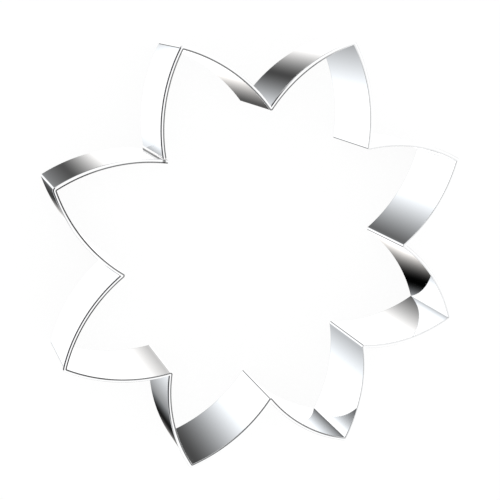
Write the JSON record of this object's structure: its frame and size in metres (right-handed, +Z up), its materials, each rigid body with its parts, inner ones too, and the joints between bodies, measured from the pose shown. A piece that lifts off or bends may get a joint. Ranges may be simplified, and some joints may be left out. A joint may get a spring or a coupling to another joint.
{
  "type": "cookie cutter",
  "caption": "Pointed-petal flower cookie cutter: one polished steel strip bent on edge and welded closed, thick eased rim on top, ground cutting edge below.",
  "frame": {"origin": "on the flower's axis, in the plane of the cutting edge", "axes": "+Z up from the cutting edge to the rim, along the flower's axis; four petal tips lie on +X, -X, +Y and -Y; the welded valley is 22.5 degrees to the left of +Y, seen from above"},
  "size_m": [0.1052, 0.1052, 0.019],
  "materials": {
    "polished_steel": "mirror-polished stainless steel",
    "weld_metal": "dressed stainless weld, slightly duller than the strip"
  },
  "bodies": {
    "root": {"petal_band": "polished_steel", "seam_weld": "weld_metal"}
  },
  "joints": []
}
